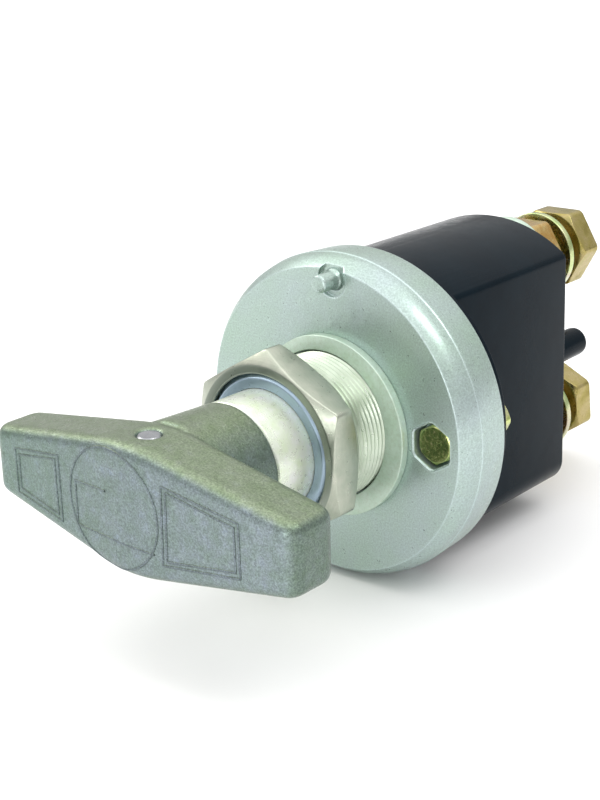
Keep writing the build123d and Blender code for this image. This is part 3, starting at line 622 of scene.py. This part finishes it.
# ---------------------------------------------------------------- sizes of the pieces
CLAMP_NUT_AF = 46.0
CLAMP_NUT_BORE_R = 20.05
BUSH_R = 20.0
BUSH_PITCH = 1.5
BUSH_DEPTH = 0.85
WASHER_BORE_R = 20.4
SHOULDER_R = 24.0
SHOULDER_DEPTH = 2.5
BORE_R = 16.28
STUD_NUT_AF = 22.0
LOWER_NUT_CORNER = 34
STUD_R = 7.0
STUD_PITCH = 2.0
STUD_DEPTH = 1.1
STUD_HEAD = 7.0
M6_AF = 10.0
M6_R = 3.0
M6_HOLE_R = 3.2
M6_HEAD = 4.0
M6_FACE_R = 4.7
POCKET_AF = 11.3
POCKET_CORNER_CUT = 0.35
POCKET_FLARE = 0.45
# How far inside the casting's own skin a pocket's wall stands.
POCKET_INSET = 0.02
HANDLE_TURN = 1.6
LOCATOR_RECESS = 1.2
LOCATOR_RECESS_R = 4.6
LOCATOR_R = 2.4
FLANGE_PLATE = 8.0
FLANGE_LIP_R = 42.0
BEVEL_START_R = 42.05
BEVEL_WIDTH = 2.75
BEVEL_DEPTH = 6.3
BEVEL_BULGE = 0.7
HOUSING_FLAT_X = 25.5
HOUSING_REAR = 76.0
HOUSING_WALL = 4.0
BOSS_R = 12.4
POST_X = 14.8
POST_ROOT_R = 4.5
POST_END_R = 4.3


# ---------------------------------------------------------------- collar, nut and washer
def make_threaded_bush():
    front, rear = span_y("threaded_bush")
    plate_rear = rear - SHOULDER_DEPTH
    nose = [(BUSH_R - BUSH_CHAMFER, front), (BUSH_R, front + BUSH_CHAMFER)]
    before = eased([(BORE_R, plate_rear), (BORE_R, front)] + nose, 0.25, False)
    after = [
        (BUSH_R, 0.0), (BUSH_R, plate_rear), (SHOULDER_R, plate_rear), (SHOULDER_R, rear), (BORE_R, rear),
    ]
    rows = helix_rows(BUSH_R, BUSH_DEPTH, BUSH_PITCH, front + 1.4, -0.3, before, after)
    bm = bmesh.new()
    add_polar(bm, rows, full_turn(240))
    finish_mesh(
        "threaded_collar", bm, MATERIALS["bush_steel"], "switch_body", ["threaded_bush"]
    )


def make_clamp_nut():
    front, rear = span_y("clamp_nut")
    bm = bmesh.new()
    add_nut(bm, CLAMP_NUT_AF, CLAMP_NUT_BORE_R, front, rear, 0, 0, 30, CLAMP_NUT_FACE_R, 0.3, 0.35)
    finish_mesh("panel_nut", bm, MATERIALS["nickel_nut"], "switch_body", ["clamp_nut"])


def make_panel_washer():
    """Flat ring that fits the collar closely, with its rim off centre as in the CAD."""
    front, rear = span_y("panel_washer")
    x, z = centre("panel_washer")
    rim = half_width("panel_washer")

    def rows(angle):
        cos, sin = math.cos(angle), math.sin(angle)
        outer = x * cos + z * sin + math.sqrt(rim ** 2 - (x * sin - z * cos) ** 2)
        return eased([(WASHER_BORE_R, front), (outer, front), (outer, rear), (WASHER_BORE_R, rear)], 0.3)
    bm = bmesh.new()
    add_polar(bm, rows, full_turn())
    finish_mesh("panel_spacer", bm, MATERIALS["zinc_washer"], "switch_body", ["panel_washer"])


# ---------------------------------------------------------------- rear terminals
def stud_centre(node):
    """Height of a stud's axis."""
    return centre(node)[1]


def make_stud(node):
    front, rear = span_y(node)
    head_rear = front + STUD_HEAD
    head_r = half_width(node)
    before = eased([(0, front), (head_r, front), (head_r, head_rear), (STUD_R, head_rear)], 0.3, False)
    after = eased([(STUD_R - 0.15, rear - 0.9), (STUD_R - 1.1, rear), (0, rear)], 0.25, False)
    start = low("terminal_base_washers")[1] + 1
    rows = helix_rows(STUD_R, STUD_DEPTH, STUD_PITCH, start, rear - 1.1, before, after, 0.3)
    bm = bmesh.new()
    add_polar(bm, rows, full_turn(128), 0.0, stud_centre(node), closed=False)
    name = node.replace("terminal_", "threaded_")
    finish_mesh(name, bm, MATERIALS["stud_brass"], "switch_body", [node])


STUD_NODES = ("upper_terminal_stud", "lower_terminal_stud")


def make_stud_nuts(node, name, slot):
    """One nut on each stud; the lower stud's stands at its own angle, as in the CAD."""
    front, rear = span_y(node)
    bm = bmesh.new()
    for stud, corner in zip(STUD_NODES, (0, LOWER_NUT_CORNER)):
        add_nut(
            bm, STUD_NUT_AF, STUD_R + 0.05, front, rear, 0, stud_centre(stud), corner, STUD_NUT_AF / 2 - 0.1,
            0.2, 0.9, STUD_NUT_AF / 2 + 1.1,
        )
    finish_mesh(name, bm, MATERIALS[slot], "switch_body", [node])


def make_base_washers():
    front, rear = span_y("terminal_base_washers")
    outer = half_width("terminal_base_washers")
    bm = bmesh.new()
    for stud in STUD_NODES:
        ring = [(STUD_R + 0.4, front), (outer, front), (outer, rear), (STUD_R + 0.4, rear)]
        add_lathe(bm, ring, 0, stud_centre(stud), 0.4)
    finish_mesh(
        "stud_base_washers", bm, MATERIALS["zinc_washer"], "switch_body",
        ["terminal_base_washers"],
    )


def make_spring_washers():
    """Split washers: a square-section ring whose two cut ends are sprung apart."""
    front, rear = span_y("terminal_spring_washers")
    outer = high("terminal_spring_washers")[0]
    inner = outer - 5.2
    hang = STUD_R - inner + 0.05
    offset = 0.25
    half_gap = math.radians(4.5)
    bm = bmesh.new()
    for stud in STUD_NODES:
        def rows(angle):
            turn = (angle - math.pi) / (2 * math.pi)
            shift = offset * 2 * (turn - 0.5)
            y0, y1 = front + offset + shift, rear - offset + shift
            return eased([(inner, y0), (outer, y0), (outer, y1), (inner, y1)], 0.35)
        angles = [math.pi + half_gap + (2 * math.pi - 2 * half_gap) * i / 120 for i in range(121)]
        add_polar(bm, rows, angles, 0, stud_centre(stud) + hang, capped=True)
    finish_mesh(
        "split_washers", bm, MATERIALS["spring_washer_steel"], "switch_body",
        ["terminal_spring_washers"],
    )


# ---------------------------------------------------------------- flange and its bolts
def bolt_places():
    """x of the two flange bolts."""
    x = high("flange_bolts")[0] - M6_AF / 2
    return -x, x


def add_pocket_wall(bm, x, floor_y):
    """Wall, eased mouth and floor of a bolt's pocket."""
    def rows(angle):
        edge = hex_radius(angle, 30, POCKET_AF, POCKET_CORNER_CUT) - POCKET_INSET
        floor = floor_y - POCKET_INSET
        return [(edge + POCKET_FLARE, 0), (edge, POCKET_FLARE), (edge, floor), (M6_R, floor)]
    add_polar(bm, rows, hex_angles(30), x, 0, closed=False)


def make_flange():
    """Dished casting: lathe with its pockets, holes and the locator's recess cut out."""
    front, rear = span_y("mounting_flange")
    rim = high("mounting_flange")[0]
    bevel = []
    for step in range(9):
        t = step / 8
        bulge = BEVEL_BULGE * math.sin(math.pi * t)
        bevel.append((BEVEL_START_R + BEVEL_WIDTH * t + bulge * 0.92, BEVEL_DEPTH * t - bulge * 0.4))
    outline = eased([(BUSH_R, FLANGE_PLATE), (BUSH_R, front), bevel[0]], 0.15, False)[:-1] + bevel
    back = [
        bevel[-1], (rim, BEVEL_DEPTH + 0.2), (rim - 0.5, rear),
        (FLANGE_LIP_R, rear), (FLANGE_LIP_R, FLANGE_PLATE), (BUSH_R, FLANGE_PLATE),
    ]
    outline += eased(back, 0.3, False)[1:-1]
    bm = bmesh.new()
    add_polar(bm, lambda angle: outline, full_turn(256))
    cuts = []
    head_rear = low("flange_bolts")[1] + M6_HEAD
    for x in bolt_places():
        cuts.append(("DIFFERENCE", hex_rod_bm(POCKET_AF, -2, head_rear, x, 0, 30, POCKET_FLARE)))
        cuts.append(("DIFFERENCE", rod_bm(M6_HOLE_R, head_rear - 1, FLANGE_PLATE + 1, x, 0, 48)))
    pin_x, pin_z = centre("locating_pin")
    pin_foot = half_width("locating_pin")
    cuts.append(("DIFFERENCE", rod_bm(LOCATOR_RECESS_R, -2, LOCATOR_RECESS, pin_x, pin_z)))
    cuts.append(("DIFFERENCE", rod_bm(pin_foot, 1.0, high("locating_pin")[1], pin_x, pin_z, 48)))
    body = combined(bm, cuts)
    for x in bolt_places():
        add_pocket_wall(body, x, head_rear)
    finish_mesh(
        "flange_casting", body, MATERIALS["flange_zinc"], "switch_body",
        ["mounting_flange"], math.radians(24),
    )


def make_locating_pin():
    """Dowel with a rounded nose and a small collar at its foot."""
    front, rear = span_y("locating_pin")
    x, z = centre("locating_pin")
    foot = half_width("locating_pin")
    outline = [(0, front), (LOCATOR_R, front), (LOCATOR_R, 0), (foot, 0.6), (foot, rear), (0, rear)]
    bm = bmesh.new()
    profile = eased(outline, 0.8, False)
    add_polar(bm, lambda angle: profile, full_turn(64), x, z, closed=False)
    finish_mesh(
        "locating_dowel", bm, MATERIALS["flange_zinc"], "switch_body", ["locating_pin"]
    )


def make_flange_bolts():
    """Hexagon bolts with a dished head; the shank's end shows its thread behind the nut."""
    front, rear = span_y("flange_bolts")
    head_rear = front + M6_HEAD
    dish = [(0, front + 0.1), (3.4, front + 0.08), (3.8, front + 0.02), (4.1, front), (M6_FACE_R, front)]
    tip = [(M6_R - 0.6, rear), (0, rear)]

    def head(angle):
        edge = hex_radius(angle, 30, M6_AF, 0.2)
        drop = (edge - M6_FACE_R) * NUT_SLOPE
        side = [(M6_FACE_R, front), (edge, front + drop), (edge, head_rear), (M6_R, head_rear)]
        return dish + eased(side, 0.2, False)[1:]
    shank = helix_rows(M6_R, 0.5, 1.0, head_rear + 8, rear - 0.6, [(M6_R, head_rear)], tip, 0.4)
    bm = bmesh.new()
    for x in bolt_places():
        add_polar(bm, head, hex_angles(30), x, 0, closed=False)
        add_polar(bm, shank, full_turn(48), x, 0, closed=False)
    finish_mesh("casting_bolts", bm, MATERIALS["yellow_zinc"], "switch_body", ["flange_bolts"])


def make_bolt_nuts():
    front, rear = span_y("flange_bolt_nuts")
    bm = bmesh.new()
    for x in bolt_places():
        add_nut(bm, M6_AF, M6_R + 0.02, front, rear, x, 0, 0, M6_AF / 2 - 0.2, 0.2, 0.5)
    finish_mesh(
        "casting_nuts", bm, MATERIALS["yellow_zinc"], "switch_body", ["flange_bolt_nuts"]
    )


# ---------------------------------------------------------------- housing
def double_d(radius, half_width, top_fillet, bottom_fillet, y, inset=0.0):
    """Outline of a circle cut by two flats, with its corners rounded, as (x, y, z)."""
    radius, half_width = radius - inset, half_width - inset
    points = []
    for sx, sz in ((1, 1), (-1, 1), (-1, -1), (1, -1)):
        fillet = top_fillet if sz > 0 else bottom_fillet
        f = max(fillet - inset, 0.2)
        cx = half_width - f
        cz = math.sqrt((radius - f) ** 2 - cx ** 2)
        lean = math.atan2(cz, cx)
        arc = [(cx + f * math.cos(lean * k / 8), cz + f * math.sin(lean * k / 8)) for k in range(9)]
        crown = [lean + (math.pi / 2 - lean) * k / 24 for k in range(1, 24)]
        arc += [(radius * math.cos(a), radius * math.sin(a)) for a in crown]
        quarter = [(sx * px, y, sz * pz) for px, pz in arc]
        if sx * sz < 0:
            quarter.reverse()
        points += quarter
    return points


def make_housing():
    """Moulded cup with eased edges, stud bosses and the rounded separator post."""
    front, post_rear = span_y("switch_housing")
    radius = high("switch_housing")[0]
    flange_rear = low("flange_bolt_washers")[1]
    boss_rear = low("terminal_base_washers")[1]
    rings = [double_d(radius, HOUSING_FLAT_X, 3.0, 7.0, front, 0.0)]
    for before_rear, inset in ((1.0, 0.0), (0.5, 0.13), (0.13, 0.5), (0.0, 1.0)):
        rings.append(double_d(radius, HOUSING_FLAT_X, 3.0, 7.0, HOUSING_REAR - before_rear, inset))
    bm = bmesh.new()
    mesh_from_outlines(bm, rings)
    flange = bmesh.new()
    edge = [(0, front), (radius, front), (radius, flange_rear), (0, flange_rear)]
    add_polar(flange, lambda angle: eased(edge, 0.7, False), full_turn(), closed=False)
    parts = [("UNION", flange)]
    root = HOUSING_REAR - 2
    for stud in STUD_NODES:
        boss = bmesh.new()
        outline = [(0, root), (BOSS_R, root), (BOSS_R, boss_rear), (0, boss_rear)]
        boss_profile = eased(outline, 0.5, False)
        add_polar(boss, lambda angle: boss_profile, full_turn(96), 0, stud_centre(stud), closed=False)
        parts.append(("UNION", boss))
    post = bmesh.new()
    outline = [(0, root), (POST_ROOT_R, root), (POST_END_R, post_rear), (0, post_rear)]
    post_profile = eased(outline, 2.2, False)
    add_polar(post, lambda angle: post_profile, full_turn(64), POST_X, 0, closed=False)
    parts.append(("UNION", post))
    hollow = bmesh.new()
    inner_size = (radius - HOUSING_WALL, HOUSING_FLAT_X - HOUSING_WALL)
    floor = low("upper_terminal_stud")[1] + STUD_HEAD
    mesh_from_outlines(hollow, [double_d(*inner_size, 1.0, 1.0, y) for y in (front - 1, floor)])
    parts.append(("DIFFERENCE", hollow))
    parts.append(("DIFFERENCE", rod_bm(25.0, front - 1, front + 2.5)))
    for x in bolt_places():
        parts.append(("DIFFERENCE", rod_bm(M6_HOLE_R, front - 1, flange_rear + 1, x, 0, 48)))
    for stud in STUD_NODES:
        parts.append(("DIFFERENCE", rod_bm(STUD_R + 0.05, 60, boss_rear + 1, 0, stud_centre(stud), 64)))
    finish_mesh(
        "moulded_housing", combined(bm, parts), MATERIALS["black_moulding"], "switch_body",
        ["switch_housing"], math.radians(24),
    )


# ---------------------------------------------------------------- handle
SKIN_VOXEL = 0.5
BEAD_HALF_WIDTH = 0.36
BEAD_HEIGHT = 0.2


def make_handle():
    """The CAD handle, remade as one even skin so that every edge is as soft as a casting's."""
    source = frame["nodes"]["t_handle"]
    mesh = source.data.copy()
    piece = bpy.data.objects.new("cast_handle", mesh)
    bpy.context.scene.collection.objects.link(piece)
    remesh = piece.modifiers.new("skin", "REMESH")
    remesh.mode = "VOXEL"
    remesh.voxel_size = SKIN_VOXEL * MM
    smooth = piece.modifiers.new("soften", "SMOOTH")
    smooth.factor = 0.5
    smooth.iterations = 5
    bpy.context.view_layer.update()
    depsgraph = bpy.context.evaluated_depsgraph_get()
    skin = bpy.data.meshes.new_from_object(piece.evaluated_get(depsgraph))
    piece.modifiers.clear()
    piece.data = skin
    skin.name = "cast_handle"
    skin.materials.clear()
    skin.materials.append(MATERIALS["handle_zinc"])
    skin.shade_smooth()
    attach(piece, "handle")
    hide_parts("t_handle")
    return piece


def relief_lines():
    """Raised lines cast on the bar's front, in the handle's own X and Z."""
    radius, middle = 15.2, (-4.2, -0.5)
    angles = np.linspace(0, 2 * math.pi, 73)
    lines = [[(middle[0] + radius * math.cos(a), radius * math.sin(a) + middle[1]) for a in angles]]
    lines.append([(-6.0, 3.6), (-17.2, 3.3), (-17.2, -8.2), (9.5, -8.4)])
    left = [(-41.0, 5.2), (-23.6, 7.9), (-23.4, -9.4), (-41.0, -6.6)]
    right = [(12.6, 9.6), (35.2, 6.3), (35.4, -7.2), (12.2, -10.4)]
    for box, inset in ((left, 0.0), (left, 1.4), (right, 0.0), (right, 1.3)):
        middle_x = sum(p[0] for p in box) / 4
        middle_z = sum(p[1] for p in box) / 4
        moved = [
            (px + math.copysign(inset, middle_x - px), pz + math.copysign(inset, middle_z - pz))
            for px, pz in box
        ]
        lines.append(moved + [moved[0]])
    return lines


def make_relief(handle):
    """Lay each line on the casting as a low half-round bead."""
    skin = handle.data
    tree = BVHTree.FromPolygons([v.co for v in skin.vertices], [tuple(p.vertices) for p in skin.polygons])
    turn = math.radians(HANDLE_TURN)
    front = low("t_handle")[1]
    section = [(-1, -0.4), (-0.8, 0.45), (-0.35, 0.9), (0.35, 0.9), (0.8, 0.45), (1, -0.4)]
    bm = bmesh.new()
    for line in relief_lines():
        points = []
        for (xa, za), (xb, zb) in zip(line, line[1:]):
            steps = max(1, int(math.hypot(xb - xa, zb - za) / 0.7))
            points += [(xa + (xb - xa) * k / steps, za + (zb - za) * k / steps) for k in range(steps)]
        points.append(line[-1])
        rows = []
        for i, (px, pz) in enumerate(points):
            before, after = points[max(i - 1, 0)], points[min(i + 1, len(points) - 1)]
            along = Vector((after[0] - before[0], after[1] - before[1])).normalized()
            row = []
            for across, rise in section:
                hx = px - along.y * across * BEAD_HALF_WIDTH
                hz = pz + along.x * across * BEAD_HALF_WIDTH
                x = hx * math.cos(turn) + hz * math.sin(turn)
                z = hz * math.cos(turn) - hx * math.sin(turn)
                hit, normal, _, _ = tree.ray_cast(Vector((x * MM, -0.1, z * MM)), Vector((0, 1, 0)))
                if hit is None or normal.y > -0.35:
                    row = None
                    break
                place = hit / MM + normal * rise * BEAD_HEIGHT
                place.y = max(place.y, front)
                row.append(bm.verts.new(place))
            rows.append(row)
        for near, far in zip(rows, rows[1:]):
            if near and far:
                for k in range(len(section) - 1):
                    bm.faces.new((near[k], near[k + 1], far[k + 1], far[k]))
                bm.faces.new((near[-1], near[0], far[0], far[-1]))
    bmesh.ops.delete(bm, geom=[v for v in bm.verts if not v.link_faces], context="VERTS")
    finish_mesh("handle_relief", bm, MATERIALS["handle_lines"], "handle", (), math.radians(50))


# ---------------------------------------------------------------- return spring
def make_return_spring():
    """Coil with closed ends, made at one length; the real spring is squeezed as the carriage comes back."""
    front, rear = span_y("return_spring")
    mean_r, wire_r, turns, around = 7.5, 1.0, 8.0, 10
    end_turns, end_pitch = 0.8, 0.45
    end_rise = 2 * end_turns * end_pitch
    steps = 360
    bm = bmesh.new()
    rings = []
    for i in range(steps + 1):
        t = i / steps
        angle = 2 * math.pi * turns * t
        done = t * turns
        rise = min(max((done - end_turns) / (turns - 2 * end_turns), 0.0), 1.0)
        closed = end_pitch * (min(done, end_turns) + max(done - turns + end_turns, 0.0))
        y = front + wire_r + closed + (rear - front - 2 * wire_r - end_rise) * rise
        ring = []
        for k in range(around):
            a = 2 * math.pi * k / around
            r = mean_r + wire_r * math.cos(a)
            ring.append(bm.verts.new((r * math.cos(angle), y + wire_r * math.sin(a), r * math.sin(angle))))
        rings.append(ring)
    for near, far in zip(rings, rings[1:]):
        for k in range(around):
            n = (k + 1) % around
            bm.faces.new((near[k], near[n], far[n], far[k]))
    bm.faces.new(rings[0])
    bm.faces.new(list(reversed(rings[-1])))
    piece = finish_mesh(
        "return_coil", bm, MATERIALS["spring_steel"], "switch_body", ["return_spring"]
    )
    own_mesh(piece)


make_threaded_bush()
make_clamp_nut()
make_panel_washer()
for stud_node in STUD_NODES:
    make_stud(stud_node)
make_stud_nuts("terminal_nuts", "outer_nuts", "nut_brass")
make_stud_nuts("terminal_jam_nuts", "inner_nuts", "jam_nut_brass")
make_base_washers()
make_spring_washers()
make_flange()
make_locating_pin()
make_flange_bolts()
make_bolt_nuts()
make_housing()
make_relief(make_handle())
make_return_spring()


# ---------------------------------------------------------------- camera
CAMERA_AZIMUTH = math.radians(40.78)
CAMERA_ELEVATION = math.radians(19.84)
CAMERA_ROLL = math.radians(-2.04)
CAMERA_DISTANCE = 419.06
CAMERA_LENS = 70.67
CAMERA_SHIFT = (-0.038, 0.027)


def make_camera():
    """Camera that looks at the origin from the handle's side, slightly above."""
    back = Vector((
        math.sin(CAMERA_AZIMUTH) * math.cos(CAMERA_ELEVATION),
        -math.cos(CAMERA_AZIMUTH) * math.cos(CAMERA_ELEVATION),
        math.sin(CAMERA_ELEVATION),
    ))
    right = Vector((math.cos(CAMERA_AZIMUTH), math.sin(CAMERA_AZIMUTH), 0))
    up = back.cross(right)
    cos, sin = math.cos(CAMERA_ROLL), math.sin(CAMERA_ROLL)
    right, up = right * cos + up * sin, up * cos - right * sin
    data = bpy.data.cameras.new("camera")
    data.lens = CAMERA_LENS
    data.sensor_width = 36
    data.shift_x, data.shift_y = CAMERA_SHIFT
    data.clip_start = 0.01
    data.clip_end = 100
    camera = bpy.data.objects.new("camera", data)
    camera.matrix_world = Matrix.Translation(back * CAMERA_DISTANCE * MM) @ Matrix((
        (right.x, up.x, back.x, 0), (right.y, up.y, back.y, 0), (right.z, up.z, back.z, 0), (0, 0, 0, 1),
    ))
    bpy.context.scene.collection.objects.link(camera)
    bpy.context.scene.camera = camera


# ---------------------------------------------------------------- studio
def make_light(name, place, size, power, colour):
    """Softbox that is turned towards the origin."""
    data = bpy.data.lights.new(name, "AREA")
    data.shape = "RECTANGLE"
    data.size, data.size_y = size
    data.energy = power
    data.color = colour
    light = bpy.data.objects.new(name, data)
    light.location = place
    light.rotation_euler = (-Vector(place)).to_track_quat("-Z", "Y").to_euler()
    bpy.context.scene.collection.objects.link(light)


WORLD_GREYS = ((0.0, 0.48), (0.3, 0.66), (0.62, 1.1))
WORLD_STRENGTH = 1.1
SUN_FROM = (-0.2, -0.15, 0.97)
SUN_ENERGY = 1.0
SUN_ANGLE = math.radians(90)
FLOOR_GAP = 0.05
FLOOR_HALF = 6000
# Name, place and size in metres, power in watts, colour.
SOFTBOXES = (
    ("left_box", (-0.68, -0.25, 0.55), (0.35, 0.35), 1.5, (1.0, 0.97, 0.9)),
    ("right_box", (0.5, 0.0, 0.75), (0.35, 0.35), 1.6, (1.0, 1.0, 1.0)),
    ("front_box", (0.3, -0.95, 0.1), (0.6, 0.35), 2.4, (1.0, 1.0, 1.0)),
)


def make_studio():
    """Pale floor, a sky that is brightest overhead, a broad soft sun and three softboxes."""
    floor_z = cad_bounds[0][2] / MM - FLOOR_GAP
    bm = bmesh.new()
    half = FLOOR_HALF
    corners = [(-half, -half), (half, -half), (half, half), (-half, half)]
    bm.faces.new([bm.verts.new((cx, cy, floor_z)) for cx, cy in corners])
    material = Nodes("floor_paint")
    shade = material.ramp(material.noise(0.004, 3.0), [(0.3, (0.88, 0.88, 0.88)), (0.7, (0.9, 0.9, 0.9))])
    material.values(Base_Color=shade, Roughness=0.9)
    floor = finish_mesh("studio_floor", bm, material.material, None)
    world = bpy.data.worlds.new("studio")
    bpy.context.scene.world = world
    world.use_nodes = True
    tree = world.node_tree
    background = tree.nodes["Background"]
    coordinates = tree.nodes.new("ShaderNodeTexCoord")
    split = tree.nodes.new("ShaderNodeSeparateXYZ")
    tree.links.new(coordinates.outputs["Generated"], split.inputs["Vector"])
    ramp = tree.nodes.new("ShaderNodeValToRGB")
    stops = ramp.color_ramp.elements
    stops.new(0.5)
    for stop, (height, grey) in zip(stops, WORLD_GREYS):
        stop.position, stop.color = height, (grey, grey, grey, 1)
    tree.links.new(split.outputs["Z"], ramp.inputs["Fac"])
    tree.links.new(ramp.outputs["Color"], background.inputs["Color"])
    background.inputs["Strength"].default_value = WORLD_STRENGTH
    sky = bpy.data.lights.new("sky", "SUN")
    sky.energy = SUN_ENERGY
    sky.angle = SUN_ANGLE
    sun = bpy.data.objects.new("sky", sky)
    sun.rotation_euler = Vector(SUN_FROM).to_track_quat("Z", "Y").to_euler()
    bpy.context.scene.collection.objects.link(sun)
    for box in SOFTBOXES:
        make_light(*box)
    bpy.context.scene.view_settings.view_transform = "Standard"
    bpy.context.scene.view_settings.look = "None"


make_camera()
make_studio()
